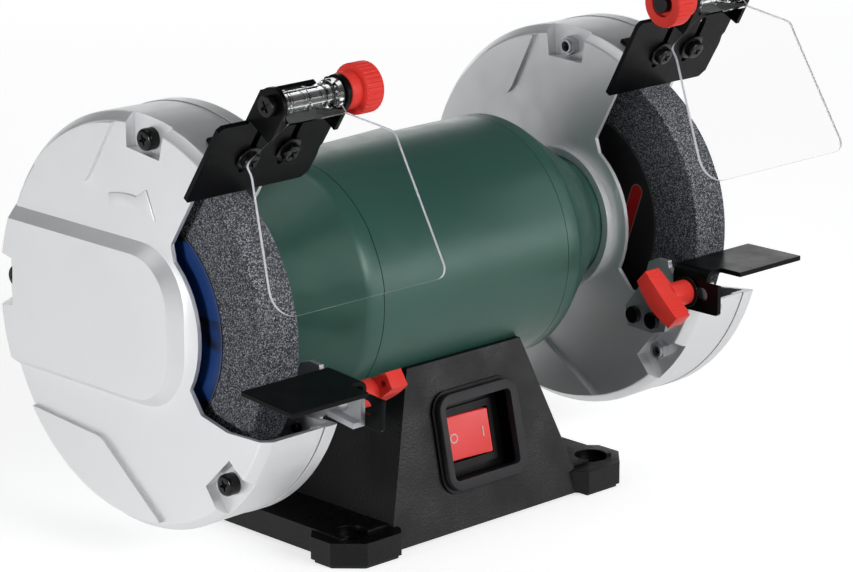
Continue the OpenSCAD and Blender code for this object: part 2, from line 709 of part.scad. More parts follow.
// Clear shield: a tube on the pivot, a sloping neck, a short bend and a panel that widens downward
module eye_shield(side) {
    inside = (ear_high_u - ear_low_u) / 2 - ear_t - fit;
    // the pivot frame leans with the spark guard, so the slopes are counted from there
    lean = 90 - spark_angle;
    color([0.85, 0.9, 0.92, 0.45]) pivot_frame(side) translate([(ear_low_u + ear_high_u) / 2, 0, 0])
        difference() {
            union() {
                rod(-inside, 2 * inside, barrel_r);
                rod(inside - 5.5, 5.5, 6.4);
                rotate([neck_drop - 90 - lean, 0, 0]) {
                    sheet([[-neck_half, 2], [neck_half, 2], [neck_half, 10], [neck_end[1], neck_len],
                        [neck_end[0], neck_len], [-neck_half, 10]]);
                    translate([0, 0, -neck_len]) rotate([facet_drop - neck_drop, 0, 0]) {
                        sheet([[neck_end[0], -0.3], [neck_end[1], -0.3], [facet_end[1], facet_len],
                            [facet_end[0], facet_len]]);
                        translate([0, 0, -facet_len]) rotate([panel_drop - facet_drop, 0, 0])
                            sheet(concat(
                                [[facet_end[0], -0.3], [facet_end[1], -0.3]],
                                arc(panel_end[1] - 6, panel_len - 6, 6, 0, 90, 6),
                                arc(panel_end[0] + 13, panel_len - 13, 13, 90, 180, 8)));
                    }
                }
            }
            rod(-40, 80, 2.6, 0, 0, 32);
        }
}
bolt_reach = (ear_high_u - ear_low_u) / 2;
module pivot_bolt(side) {
    color("#18191a") pivot_motor_side(side) difference() {
        union() {
            rod(-bolt_reach - fit - 3.4, 3.4, 4.4, 0, 0, 32);
            rod(-bolt_reach - fit, 2 * bolt_reach + fit + 14, 2.5, 0, 0, 32);
            rod(bolt_reach + 13.2, 3.6, 4, 0, 0, 32);
        }
        for (q = [0, 90]) translate([-bolt_reach - 3.6, 0, 0]) rotate([q + 25, 0, 0])
            cube([3, 5, 1.1], center = true);
    }
}
knob_teeth = 32;
module shield_knob(side) {
    color("#e0443c") pivot_motor_side(side) difference() {
        union() {
            rod(bolt_reach + fit, 6, 8);
            across(bolt_reach + fit + 5.8, 9.4) polygon([for (i = [0:2 * knob_teeth - 1])
                (i % 2 == 0 ? 10.9 : 10.2) * [cos(i * 180 / knob_teeth), sin(i * 180 / knob_teeth)]]);
        }
        rod(bolt_reach, 20, 2.55, 0, 0, 32);
        rod(bolt_reach + 12.6, 20, 6, 0, 0, 48);
    }
}

// ---- tool rests, drawn for the left guard ----
web_x = guard_w;
leg_x = web_x + web_t + fit;
washer_x = leg_x + leg_t + fit;
knob_x = washer_x + 1.2 + fit;
table_t = 2.2;
rest_screws = [[36, -15.5], [24.5, -17]];
module rest_bracket(side) {
    color("#8e9195") rest_place(side) difference() {
        union() {
            across(web_x, web_t) polygon([
                [-12, 4.6], [-12, -9], [6, -6.6], [14, -11], [18, -22], [26, -23.5], [41, -21.5],
                [42, -12], [29, 2], [25.6, 10.8], [20, 12.8], [13.6, 12.2], [13.2, 9], [10.5, 6.6], [0, 6.6]]);
            translate([web_x - 4.4, -12, -9]) rotate([7.5, 0, 0]) cube([6.2, 16, 2.5]);
        }
        rod(web_x - 2, 8, 3.1, 0, 0, 32);
        for (p = rest_screws) rod(web_x - 2, 8, 2.1, p[0], p[1], 24);
    }
}
module rest_bracket_screws() {
    color("#c7cacd") for (side = [-1, 1]) rest_place(side) for (p = rest_screws) {
        rod(web_x + web_t, 2.6, 4, p[0], p[1], 32);
        rod(web_x - 5, web_t + 5, 2, p[0], p[1], 24);
    }
}
module rest_bolt_piece(side) {
    color("#c7cacd") rest_frame(side) {
        translate([web_x, 0, 0]) intersection() {
            translate([2.6, 0, 0]) sphere(r = 5.6);
            rod(-3, 3, 4.6);
        }
        rod(web_x, knob_x + 12 - web_x, 3, 0, 0, 32);
    }
}
// Table and leg bent from one plate; the leg's slot rides on the bolt
module tool_rest(side) {
    // the table's rear edge keeps its gap from the wheel at the table's own height
    level = table_rise + rest_bolt(side)[1];
    rear = -sqrt(wheel_r * wheel_r - level * level) - table_gap - rest_bolt(side)[0];
    front = rear - table_depth;
    leg_front = front + (side < 0 ? -0.5 : 4.7);
    slot_front = leg_front + 9.6;
    slot_rear = rear - 5.2;
    bend_r = 4.5;
    leg_face = leg_x + leg_t;
    color("#17181a") rest_frame(side) difference() {
        union() {
            translate([-6.5, front, table_rise - table_t])
                cube([leg_face + 6.5 - bend_r - 5.4, table_depth, table_t]);
            translate([leg_face - bend_r - 6, front + 11.5, table_rise - table_t])
                cube([6.01, table_depth - 11.5, table_t]);
            translate([leg_face - bend_r, front + 11.5, table_rise - bend_r]) rotate([-90, 0, 0]) intersection() {
                difference() {
                    cylinder(r = bend_r, h = table_depth - 11.5, $fn = 48);
                    translate([0, 0, -1]) cylinder(r = bend_r - leg_t, h = table_depth, $fn = 48);
                }
                translate([0, -10, -1]) cube([10, 10, table_depth + 2]);
            }
            across(leg_x, leg_t) polygon([
                [front + 11.5, table_rise - bend_r + 0.01], [rear, table_rise - bend_r + 0.01], [rear, -6.5],
                [rear - 2, -8.5], [leg_front + 1, -8.5], [leg_front, -7.5], [leg_front, 5.6], [front + 11.5, 5.6]]);
        }
        translate([leg_x - 1, slot_front, -3.2]) cube([5, slot_rear - slot_front, 6.4]);
        for (y = [slot_front, slot_rear]) rod(leg_x - 1, 5, 3.2, y, 0, 32);
    }
}
module rest_washer(side) {
    color("#b4b7ba") rest_frame(side) difference() {
        rod(washer_x, 1.2, 7.2);
        rod(washer_x - 1, 4, 3.1, 0, 0, 32);
    }
}
module rest_knob(side) {
    color("#e0443c") rest_frame(side) difference() {
        union() {
            rod(knob_x, 11, 5.8);
            rotate([side < 0 ? -37.5 : 43.5, 0, 0]) translate([knob_x + 10.3, 0, 0]) intersection() {
                translate([0, 0, -7]) linear_extrude(14) polygon(concat(
                    [[0, -12.6], [0, 12.6], [1, 13.5]],
                    [for (i = [-6:6]) [9 + 1.6 * cos(i * 15), -i * 13.5 / 6]],
                    [[1, -13.5]]));
                translate([-1, 0, 0]) across(0, 14) polygon([
                    [-13.6, -3.8], [0, -4.8], [13.6, -3.8], [13.6, 3.8], [0, 4.8], [-13.6, 3.8]]);
            }
        }
        rod(knob_x - 1, 14, 3.05, 0, 0, 32);
    }
}

base_housing();
bottom_cover();
rubber_feet();
cover_screws();
switch_surround();
switch_body();
switch_rocker();
run_capacitor();
terminal_block();
cable_gland();
motor_barrel();
end_bell(-1);  // left_end_bell
end_bell(1);  // right_end_bell
stator_core();
stator_windings();
tie_bolts();
bearing(-1);  // left_bearing
bearing(1);  // right_bearing
shaft();
rotor_core();
inner_flange(-1);  // left_inner_flange
inner_flange(1);  // right_inner_flange
wheel(-1);  // left_wheel
wheel(1);  // right_wheel
label(-1);  // left_label
label(1);  // right_label
outer_flange(-1);  // left_outer_flange
outer_flange(1);  // right_outer_flange
shaft_nut(-1);  // left_shaft_nut
shaft_nut(1);  // right_shaft_nut
left_guard_cover();
left_guard_inner();
right_guard_inner();
right_guard_cover();
guard_screws();
guard_nuts();
neck_screws();
spark_bracket(-1);  // left_spark_bracket
spark_bracket(1);  // right_spark_bracket
spark_guard(-1);  // left_spark_guard
spark_guard(1);  // right_spark_guard
spark_screws();
eye_shield(-1);  // left_eye_shield
eye_shield(1);  // right_eye_shield
pivot_bolt(-1);  // left_pivot_bolt
pivot_bolt(1);  // right_pivot_bolt
shield_knob(-1);  // left_shield_knob
shield_knob(1);  // right_shield_knob
rest_bracket(-1);  // left_rest_bracket
rest_bracket(1);  // right_rest_bracket
rest_bracket_screws();
rest_bolt_piece(-1);  // left_rest_bolt
rest_bolt_piece(1);  // right_rest_bolt
tool_rest(-1);  // left_tool_rest
tool_rest(1);  // right_tool_rest
rest_washer(-1);  // left_rest_washer
rest_washer(1);  // right_rest_washer
rest_knob(-1);  // left_rest_knob
rest_knob(1);  // right_rest_knob
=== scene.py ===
import bpy, json, math
from mathutils import Vector, Matrix

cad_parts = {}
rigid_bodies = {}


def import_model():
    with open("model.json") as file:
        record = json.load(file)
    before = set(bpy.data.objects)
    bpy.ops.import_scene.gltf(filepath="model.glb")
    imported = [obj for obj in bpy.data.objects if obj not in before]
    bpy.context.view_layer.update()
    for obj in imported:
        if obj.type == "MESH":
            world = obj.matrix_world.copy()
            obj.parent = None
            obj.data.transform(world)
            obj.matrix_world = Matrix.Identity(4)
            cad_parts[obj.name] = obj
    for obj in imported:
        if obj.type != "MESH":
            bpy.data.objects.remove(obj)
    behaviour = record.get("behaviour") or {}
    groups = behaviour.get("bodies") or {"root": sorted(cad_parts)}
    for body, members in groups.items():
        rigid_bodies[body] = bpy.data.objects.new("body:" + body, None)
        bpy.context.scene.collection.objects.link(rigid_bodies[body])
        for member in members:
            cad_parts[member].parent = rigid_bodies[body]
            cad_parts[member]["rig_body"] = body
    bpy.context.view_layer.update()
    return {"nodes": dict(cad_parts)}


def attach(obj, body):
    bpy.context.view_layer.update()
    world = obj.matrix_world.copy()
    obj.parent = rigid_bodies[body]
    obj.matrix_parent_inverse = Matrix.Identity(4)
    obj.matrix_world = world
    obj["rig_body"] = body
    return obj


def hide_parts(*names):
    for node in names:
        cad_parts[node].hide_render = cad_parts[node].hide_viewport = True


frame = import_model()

print("frame loaded,", len(frame["nodes"]), "nodes")


# camera and studio first, so the view is settled before the pieces
studio = {
    "cameraAt": (-1.0718, -1.1334, 0.5385),
    "lookAt": (0.02216, 0.0, 0.09407),
    "lens": 150.27,
    "sensor": 36,
    "clipStart": 0.05,
    "floorSize": 9.0,
    "floorColour": (0.6, 0.6, 0.6, 1),
    "floorGlow": 0.7,       # makes the lit floor white for the rays that show it
    "glossGlow": 0.8,       # share of that glow that gloss shows
    "worldColour": (0.93, 0.95, 1.0, 1),
    "worldStrength": 0.1,
    "lamps": {              # place, aim, width, depth, watts
        "left": ((-1.9, 0.0, 0.2), (-0.15, 0, 0.11), 0.4, 0.3, 17.0),
        "front": ((0.2, -1.9, 0.9), (0, 0, 0.1), 1.2, 0.6, 22.0),
        "frontRight": ((1.5, -1.9, 0.3), (0, 0, 0.08), 1.3, 0.7, 9.0),
        "overhead": ((-0.2, 0.3, 1.5), (0, 0, 0.15), 1.2, 1.0, 4.0),
        "rear": ((1.2, 1.5, 0.45), (0, 0, 0.1), 2.4, 0.8, 9.0),
    },
}


def deselectAll():
    if bpy.context.object and bpy.context.object.mode != 'OBJECT':
        bpy.ops.object.mode_set(mode='OBJECT')
    bpy.ops.object.select_all(action='DESELECT')


def pointAt(obj, target):
    way = Vector(target) - obj.location
    obj.rotation_euler = way.to_track_quat('-Z', 'Y').to_euler()


def addCamera(s):
    bpy.ops.object.camera_add(location=s["cameraAt"])
    cam = bpy.context.object
    cam.name = "studioCamera"
    cam.data.lens = s["lens"]
    cam.data.sensor_width = s["sensor"]
    cam.data.sensor_fit = 'HORIZONTAL'
    cam.data.clip_start = s["clipStart"]
    pointAt(cam, s["lookAt"])
    bpy.context.scene.camera = cam


def addLamps(s):
    for name, (place, aim, wide, deep, watts) in s["lamps"].items():
        bpy.ops.object.light_add(type='AREA', location=place)
        lamp = bpy.context.object
        lamp.name = name + "Lamp"
        lamp.data.shape = 'RECTANGLE'
        lamp.data.size = wide
        lamp.data.size_y = deep
        lamp.data.energy = watts
        pointAt(lamp, aim)


def mathNode(tree, way, *values):
    # each value is a number or the output of another node
    node = tree.nodes.new("ShaderNodeMath")
    node.operation = way
    for socket, value in zip(node.inputs, values):
        if isinstance(value, (int, float)):
            socket.default_value = value
        else:
            tree.links.new(value, socket)
    return node.outputs[0]


def seenRays(tree, gloss=0.0):
    # 1 for rays that show the backdrop, straight from the camera or through clear plastic,
    # and the gloss share for those off a glossy face
    path = tree.nodes.new("ShaderNodeLightPath")
    seen = mathNode(tree, 'MULTIPLY', path.outputs["Is Glossy Ray"], gloss)
    for kind in ("Is Camera Ray", "Is Transmission Ray"):
        seen = mathNode(tree, 'MAXIMUM', seen, path.outputs[kind])
    return seen


def floorMaterial(s):
    # matte, so that it keeps the shadow, and glowing for the seen rays only
    mat = bpy.data.materials.new("studioFloor")
    mat.use_nodes = True
    tree = mat.node_tree
    tree.nodes.clear()
    out = tree.nodes.new("ShaderNodeOutputMaterial")
    matte = tree.nodes.new("ShaderNodeBsdfDiffuse")
    matte.inputs["Color"].default_value = s["floorColour"]
    glow = tree.nodes.new("ShaderNodeEmission")
    strength = mathNode(tree, 'MULTIPLY', seenRays(tree, s["glossGlow"]), s["floorGlow"])
    tree.links.new(strength, glow.inputs["Strength"])
    add = tree.nodes.new("ShaderNodeAddShader")
    tree.links.new(matte.outputs[0], add.inputs[0])
    tree.links.new(glow.outputs[0], add.inputs[1])
    tree.links.new(add.outputs[0], out.inputs[0])
    return mat


def addFloor(s):
    bpy.ops.mesh.primitive_plane_add(size=s["floorSize"], location=(0, 0, 0))
    floor = bpy.context.object
    floor.name = "studioFloor"
    floor.data.materials.append(floorMaterial(s))


def addWorld(s):
    # dim light on the pieces, white for the seen rays
    world = bpy.data.worlds.new("studioWorld")
    bpy.context.scene.world = world
    world.use_nodes = True
    tree = world.node_tree
    tree.nodes.clear()
    out = tree.nodes.new("ShaderNodeOutputWorld")
    seen = seenRays(tree)
    light = tree.nodes.new("ShaderNodeBackground")
    light.inputs["Color"].default_value = s["worldColour"]
    light.inputs["Strength"].default_value = s["worldStrength"]
    white = tree.nodes.new("ShaderNodeBackground")
    white.inputs["Color"].default_value = (1, 1, 1, 1)
    mix = tree.nodes.new("ShaderNodeMixShader")
    tree.links.new(seen, mix.inputs[0])
    tree.links.new(light.outputs[0], mix.inputs[1])
    tree.links.new(white.outputs[0], mix.inputs[2])
    tree.links.new(mix.outputs[0], out.inputs[0])


deselectAll()
addCamera(studio)
addLamps(studio)
addFloor(studio)
addWorld(studio)
bpy.context.scene.view_settings.view_transform = 'Standard'
print("studio ready")


# finishes
def startMaterial(name, rough=0.5, metal=0.0, ior=1.45):
    mat = bpy.data.materials.new(name)
    mat.use_nodes = True
    tree = mat.node_tree
    shader = tree.nodes["Principled BSDF"]
    setInputs(shader, {"Roughness": rough, "Metallic": metal, "IOR": ior})
    coords = tree.nodes.new("ShaderNodeTexCoord")
    return mat, tree, shader, coords.outputs["Object"]


def setInputs(node, values):
    for name, value in values.items():
        node.inputs[name].default_value = value


def noise(tree, where, scale, detail=3.0, stretch=None):
    if stretch:
        mapping = tree.nodes.new("ShaderNodeMapping")
        mapping.inputs["Scale"].default_value = stretch
        tree.links.new(where, mapping.inputs["Vector"])
        where = mapping.outputs["Vector"]
    node = tree.nodes.new("ShaderNodeTexNoise")
    setInputs(node, {"Scale": scale, "Detail": detail, "Roughness": 0.55})
    tree.links.new(where, node.inputs["Vector"])
    return node.outputs["Fac"]


def ramp(tree, fac, stops):
    node = tree.nodes.new("ShaderNodeValToRGB")
    bar = node.color_ramp
    bar.elements[0].position, bar.elements[0].color = stops[0]
    bar.elements[1].position, bar.elements[1].color = stops[-1]
    for place, colour in stops[1:-1]:
        bar.elements.new(place).color = colour
    tree.links.new(fac, node.inputs["Fac"])
    return node.outputs["Color"]


def remap(tree, fac, low, high, fromLow=0.3, fromHigh=0.7):
    node = tree.nodes.new("ShaderNodeMapRange")
    setInputs(node, {"From Min": fromLow, "From Max": fromHigh, "To Min": low, "To Max": high})
    tree.links.new(fac, node.inputs["Value"])
    return node.outputs["Result"]


def bump(tree, shader, height, strength, distance):
    # stands on any bump that the shader already has
    node = tree.nodes.new("ShaderNodeBump")
    setInputs(node, {"Strength": strength, "Distance": distance})
    tree.links.new(height, node.inputs["Height"])
    old = shader.inputs["Normal"].links
    if old:
        tree.links.new(old[0].from_socket, node.inputs["Normal"])
    tree.links.new(node.outputs["Normal"], shader.inputs["Normal"])


def shade(colour, factor):
    return tuple(min(1.0, c * factor) for c in colour[:3]) + (1,)


# what a look has unless it says otherwise
plainLook = {
    "metal": 0.0, "shine": 0.5, "coat": 0.0, "coatRough": 0.2, "roughSpread": 0.05,
    "cloud": 0.06, "cloudScale": 30, "smudgeScale": 90, "stretch": None,
    "grain": 0.1, "grainScale": 1500, "grainDepth": 0.0001,
}
looks = {
    "silverPaint": dict(
        colour=(0.8, 0.805, 0.815), metal=0.75, rough=0.46, cloud=0.015, cloudScale=14,
        roughSpread=0.04, grainScale=2200),
    "greenPaint": dict(
        colour=(0.032, 0.1, 0.077), metal=0.15, rough=0.36, shine=0.4, cloud=0.05, cloudScale=18,
        grainScale=1800, coat=0.2, coatRough=0.3),
    "blackShell": dict(
        colour=(0.003, 0.003, 0.0034), rough=0.36, shine=0.3, cloud=0.25, cloudScale=60,
        smudgeScale=45, roughSpread=0.14, grain=0.5, grainScale=900, grainDepth=0.00035),
    "surroundPlastic": dict(
        colour=(0.028, 0.028, 0.031), rough=0.42, shine=0.25, grain=0.2, grainScale=1800),
    "blackPlastic": dict(colour=(0.002, 0.002, 0.0022), rough=0.35, shine=0.2, grain=0.06),
    "blackSteel": dict(
        colour=(0.0015, 0.0017, 0.0021), rough=0.34, shine=0.12, cloud=0.3, cloudScale=80,
        grain=0.2, grainScale=2000),
    "blackFastener": dict(colour=(0.003, 0.003, 0.0034), rough=0.22, shine=0.35, grain=0.08),
    "redPlastic": dict(
        colour=(0.84, 0.05, 0.038), rough=0.42, shine=0.25, cloud=0.03, grain=0.08,
        grainScale=1600),
    "redRocker": dict(colour=(0.98, 0.075, 0.072), rough=0.4, cloud=0.02, grain=0.04),
    "paleMark": dict(colour=(0.85, 0.48, 0.46), rough=0.4, cloud=0.02, grain=0.04),
    "redPrint": dict(colour=(0.42, 0.002, 0.002), rough=0.5, cloud=0.03, grain=0.03),
    "edgePrint": dict(colour=(0.085, 0.085, 0.09), rough=0.5, cloud=0.03, grain=0.03),
    "greyPrint": dict(colour=(0.3, 0.2, 0.19), rough=0.5, cloud=0.03, grain=0.03),
    "zincSteel": dict(
        colour=(0.5, 0.51, 0.53), rough=0.4, metal=0.8, cloud=0.08, cloudScale=110,
        roughSpread=0.1),
    "groundSteel": dict(
        colour=(0.62, 0.63, 0.65), rough=0.2, metal=1.0, cloud=0.04, smudgeScale=300,
        stretch=(8, 1, 1), roughSpread=0.06, grain=0.03),
    "coverPlate": dict(colour=(0.05, 0.051, 0.054), rough=0.5, metal=0.3, grain=0.2),
    "footRubber": dict(
        colour=(0.012, 0.012, 0.012), rough=0.75, cloud=0.2, grain=0.5, grainScale=900),
    "lamination": dict(
        colour=(0.16, 0.155, 0.15), rough=0.5, metal=0.8, smudgeScale=900,
        stretch=(14, 0.2, 0.2), roughSpread=0.15, grain=0.2),
    "capacitorCan": dict(
        colour=(0.6, 0.61, 0.62), rough=0.35, metal=0.9, stretch=(1, 6, 6), grain=0.05),
    "terminalPlastic": dict(colour=(0.62, 0.58, 0.5), rough=0.5),
}


def finishMaterial(name, own):
    # paint, plated steel or plastic: cloudy colour and gloss, and a fine grain
    look = {**plainLook, **own}
    colour, rough = look["colour"], look["rough"]
    mat, tree, shader, where = startMaterial(name, rough, look["metal"])
    cloud = noise(tree, where, look["cloudScale"], 4)
    stops = [(0.3, shade(colour, 1 - look["cloud"])), (0.7, shade(colour, 1 + look["cloud"]))]
    tree.links.new(ramp(tree, cloud, stops), shader.inputs["Base Color"])
    smudge = noise(tree, where, look["smudgeScale"], 3, look["stretch"])
    gloss = remap(tree, smudge, rough - look["roughSpread"], rough + look["roughSpread"])
    tree.links.new(gloss, shader.inputs["Roughness"])
    grain = noise(tree, where, look["grainScale"], 2)
    bump(tree, shader, grain, look["grain"], look["grainDepth"])
    if look["coat"]:
        setInputs(shader, {"Coat Weight": look["coat"], "Coat Roughness": look["coatRough"]})
    shader.inputs["Specular IOR Level"].default_value = look["shine"]
    mat.diffuse_color = tuple(colour) + (1,)
    return mat


finishes = {name: finishMaterial(name, own) for name, own in looks.items()}

stone = {
    "dark": (0.018, 0.02, 0.024, 1), "light": (0.36, 0.37, 0.4, 1), "rough": 0.85, "shine": 0.2,
    "grains": 2300, "grainHigh": (0.35, 0.0003), "pits": 900, "pitDeep": (0.3, 0.0004),
}


def stoneMaterial(name, s):
    # abrasive grit: fine dark and pale grains with a rough surface
    mat, tree, shader, where = startMaterial(name, s["rough"])
    shader.inputs["Specular IOR Level"].default_value = s["shine"]
    grit = tree.nodes.new("ShaderNodeTexVoronoi")
    grit.inputs["Scale"].default_value = s["grains"]
    tree.links.new(where, grit.inputs["Vector"])
    pick = tree.nodes.new("ShaderNodeSeparateColor")
    tree.links.new(grit.outputs["Color"], pick.inputs["Color"])
    stops = [(0.0, s["dark"]), (0.5, shade(s["dark"], 2.4)), (0.8, shade(s["light"], 0.5)),
             (1.0, s["light"])]
    tree.links.new(ramp(tree, pick.outputs[0], stops), shader.inputs["Base Color"])
    bump(tree, shader, pick.outputs[1], *s["grainHigh"])
    bump(tree, shader, noise(tree, where, s["pits"], 3), *s["pitDeep"])
    return mat


finishes["grindingStone"] = stoneMaterial("grindingStone", stone)

labels = {                  # the sector's colour shows between the two heights
    "leftLabel": {"dark": (0.003, 0.003, 0.003, 1), "sector": (0.004, 0.035, 0.16, 1),
                  "low": 0.1205, "high": 0.154},
    "rightLabel": {"dark": (0.01, 0.01, 0.01, 1), "sector": (0.012, 0.012, 0.0125, 1),
                   "low": 0.09, "high": 0.2},
}


def labelMaterial(name, dark, sector, low, high):
    # dark printed paper with a band of another colour, whose edge wavers a little
    mat, tree, shader, where = startMaterial(name, 0.45)
    split = tree.nodes.new("ShaderNodeSeparateXYZ")
    tree.links.new(where, split.inputs[0])
    span = remap(tree, split.outputs["Z"], 0.0, 1.0, low, high)
    height = mathNode(tree, 'MULTIPLY_ADD', noise(tree, where, 40, 2), 0.12, span)
    stops = [(0.0, dark), (0.05, dark), (0.06, sector), (0.98, sector), (0.99, dark), (1.0, dark)]
    tree.links.new(ramp(tree, height, stops), shader.inputs["Base Color"])
    return mat


for name, values in labels.items():
    finishes[name] = labelMaterial(name, **values)

copper = {
    "dark": (0.16, 0.035, 0.01, 1), "light": (0.5, 0.16, 0.05, 1), "rough": 0.35, "metal": 0.6,
    "strands": 420, "waver": 1.5, "high": (0.8, 0.0004),
}


def copperMaterial(name, s):
    # wound wire, strand beside strand
    mat, tree, shader, where = startMaterial(name, s["rough"], s["metal"])
    strand = tree.nodes.new("ShaderNodeTexWave")
    strand.wave_type = 'BANDS'
    strand.bands_direction = 'X'
    setInputs(strand, {"Scale": s["strands"], "Distortion": s["waver"]})
    tree.links.new(where, strand.inputs["Vector"])
    colour = ramp(tree, strand.outputs["Fac"], [(0.0, s["dark"]), (1.0, s["light"])])
    tree.links.new(colour, shader.inputs["Base Color"])
    bump(tree, shader, strand.outputs["Fac"], *s["high"])
    return mat


finishes["copperWire"] = copperMaterial("copperWire", copper)

clears = {                  # a thin sheet hardly bends the light, a moulded tube does; the rim's milky grey is a painted highlight along the sheet's edges
    "clearPlastic": {"tint": (0.985, 0.98, 0.98, 1), "ior": 1.02},
    "clearRimHighlight": {"tint": (0.7, 0.7, 0.74, 1), "ior": 1.1, "coat": 0.3, "through": 0.1,
                 "rough": 0.2},
    "clearTube": {"tint": (0.95, 0.955, 0.96, 1), "ior": 1.42, "rough": 0.03, "wave": 0.03},
}


def clearMaterial(name, tint, ior, coat=0.0, through=1.0, rough=0.02, wave=0.0):
    mat, tree, shader, where = startMaterial(name, rough, 0.0, ior)
    setInputs(shader, {"Base Color": tint, "Transmission Weight": through, "Coat Weight": coat,
                       "Coat Roughness": 0.03})
    gloss = remap(tree, noise(tree, where, 25, 2), rough, rough * 1.5)
    tree.links.new(gloss, shader.inputs["Roughness"])
    if wave:
        bump(tree, shader, noise(tree, where, 60, 2), wave, 0.0005)
    return mat


for name, values in clears.items():
    finishes[name] = clearMaterial(name, **values)

nodeFinish = {
    "base_housing": "blackShell", "bottom_cover": "coverPlate", "rubber_feet": "footRubber",
    "cover_screws": "zincSteel", "switch_surround": "surroundPlastic",
    "switch_body": "blackPlastic", "switch_rocker": "redRocker", "run_capacitor": "capacitorCan",
    "terminal_block": "terminalPlastic", "cable_gland": "blackPlastic",
    "motor_barrel": "greenPaint", "left_end_bell": "greenPaint", "right_end_bell": "greenPaint",
    "stator_core": "lamination", "stator_windings": "copperWire", "tie_bolts": "blackFastener",
    "left_bearing": "groundSteel", "right_bearing": "groundSteel", "shaft": "groundSteel",
    "rotor_core": "lamination", "guard_screws": "blackFastener", "guard_nuts": "zincSteel",
    "neck_screws": "zincSteel", "spark_screws": "blackFastener",
    "rest_bracket_screws": "blackFastener",
}
pairFinish = {              # one of each on the left and on the right
    "inner_flange": "zincSteel", "outer_flange": "zincSteel", "wheel": "grindingStone",
    "shaft_nut": "zincSteel", "guard_cover": "silverPaint", "guard_inner": "silverPaint",
    "spark_bracket": "blackSteel", "spark_guard": "blackSteel", "eye_shield": "clearPlastic",
    "pivot_bolt": "blackFastener", "shield_knob": "redPlastic", "rest_bracket": "zincSteel",
    "rest_bolt": "zincSteel", "tool_rest": "blackSteel", "rest_washer": "blackFastener",
    "rest_knob": "redPlastic",
}
sides = ("left", "right")
for side in sides:
    nodeFinish[side + "_label"] = side + "Label"
    for part, finish in pairFinish.items():
        nodeFinish[side + "_" + part] = finish


def dress(obj, finish):
    obj.data.materials.clear()
    obj.data.materials.append(finishes[finish])


for node, finish in nodeFinish.items():
    dress(frame["nodes"][node], finish)
print("finishes ready")


# modelling helpers
def selectOnly(obj):
    deselectAll()
    obj.select_set(True)
    bpy.context.view_layer.objects.active = obj


def applyPlace(obj):
    selectOnly(obj)
    bpy.ops.object.transform_apply(location=True, rotation=True, scale=True)
    return obj


def addCylinder(radius, depth, at=(0, 0, 0), turn=(0, 0, 0), sides=64):
    deselectAll()
    bpy.ops.mesh.primitive_cylinder_add(vertices=sides, radius=radius, depth=depth,
                                        location=at, rotation=turn)
    return applyPlace(bpy.context.object)


def addBlock(size, at=(0, 0, 0), turn=(0, 0, 0)):
    deselectAll()
    bpy.ops.mesh.primitive_cube_add(size=1, location=at, rotation=turn, scale=size)
    return applyPlace(bpy.context.object)


def alongX(radius, depth, startX, y=0.0, z=0.0, sides=64):
    # a round bar along the shaft direction, from startX
    return addCylinder(radius, depth, (startX + depth / 2, y, z), (0, math.pi / 2, 0), sides)


def moved(obj, x=0.0, y=0.0, z=0.0):
    obj.data.transform(Matrix.Translation((x, y, z)))
    return obj


def useModifier(obj, kind, **values):
    mod = obj.modifiers.new("work", kind)
    for key, value in values.items():
        setattr(mod, key, value)
    selectOnly(obj)
    bpy.ops.object.modifier_apply(modifier="work")


def roundEdges(obj, width, steps=3, angle=32):
    useModifier(obj, 'BEVEL', width=width, segments=steps, limit_method='ANGLE',
                angle_limit=math.radians(angle))


def combine(obj, other, way):
    useModifier(obj, 'BOOLEAN', operation=way, object=other, solver='EXACT')
    bpy.data.objects.remove(other)


def smoothByAngle(obj, angle=35):
    selectOnly(obj)
    bpy.ops.object.shade_smooth_by_angle(angle=math.radians(angle))


def evenShading(obj, angle):
    # smooth shading that keeps the large flat faces flat
    smoothByAngle(obj, angle)
    useModifier(obj, 'WEIGHTED_NORMAL', weight=100, keep_sharp=True)


def editChosen(obj, kind, test):
    # leaves obj in edit mode with only the points, edges or faces that pass the test selected
    selectOnly(obj)
    parts = {"points": obj.data.vertices, "edges": obj.data.edges, "faces": obj.data.polygons}
    chosen = [item for item in parts[kind] if test(item)]
    for part in parts.values():
        for item in part:
            item.select = False
    for item in chosen:
        item.select = True
    bpy.ops.object.mode_set(mode='EDIT')
    bpy.context.tool_settings.mesh_select_mode = [name == kind for name in parts]


def editPoints(obj, test):
    editChosen(obj, "points", lambda point: test(point.co))


def heights(obj, edge):
    return [obj.data.vertices[i].co.z for i in edge.vertices]


def leaveEdit():
    bpy.ops.object.mode_set(mode='OBJECT')


def bevelEdges(obj, test, width, steps):
    editChosen(obj, "edges", test)
    bpy.ops.mesh.bevel(offset=width, segments=steps)
    leaveEdit()


def joinPieces(first, *others):
    deselectAll()
    for obj in (first,) + others:
        obj.select_set(True)
    bpy.context.view_layer.objects.active = first
    bpy.ops.object.join()
    return first


def install(obj, name, place, body, finish, slotName, *nodes):
    # moves a finished piece into the machine's frame and hides the nodes that it stands for
    obj.data.transform(place)
    if place.determinant() < 0:
        obj.data.flip_normals()
    obj.name = name
    dress(obj, finish)
    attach(obj, body)
    if nodes:
        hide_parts(*nodes)
    return obj


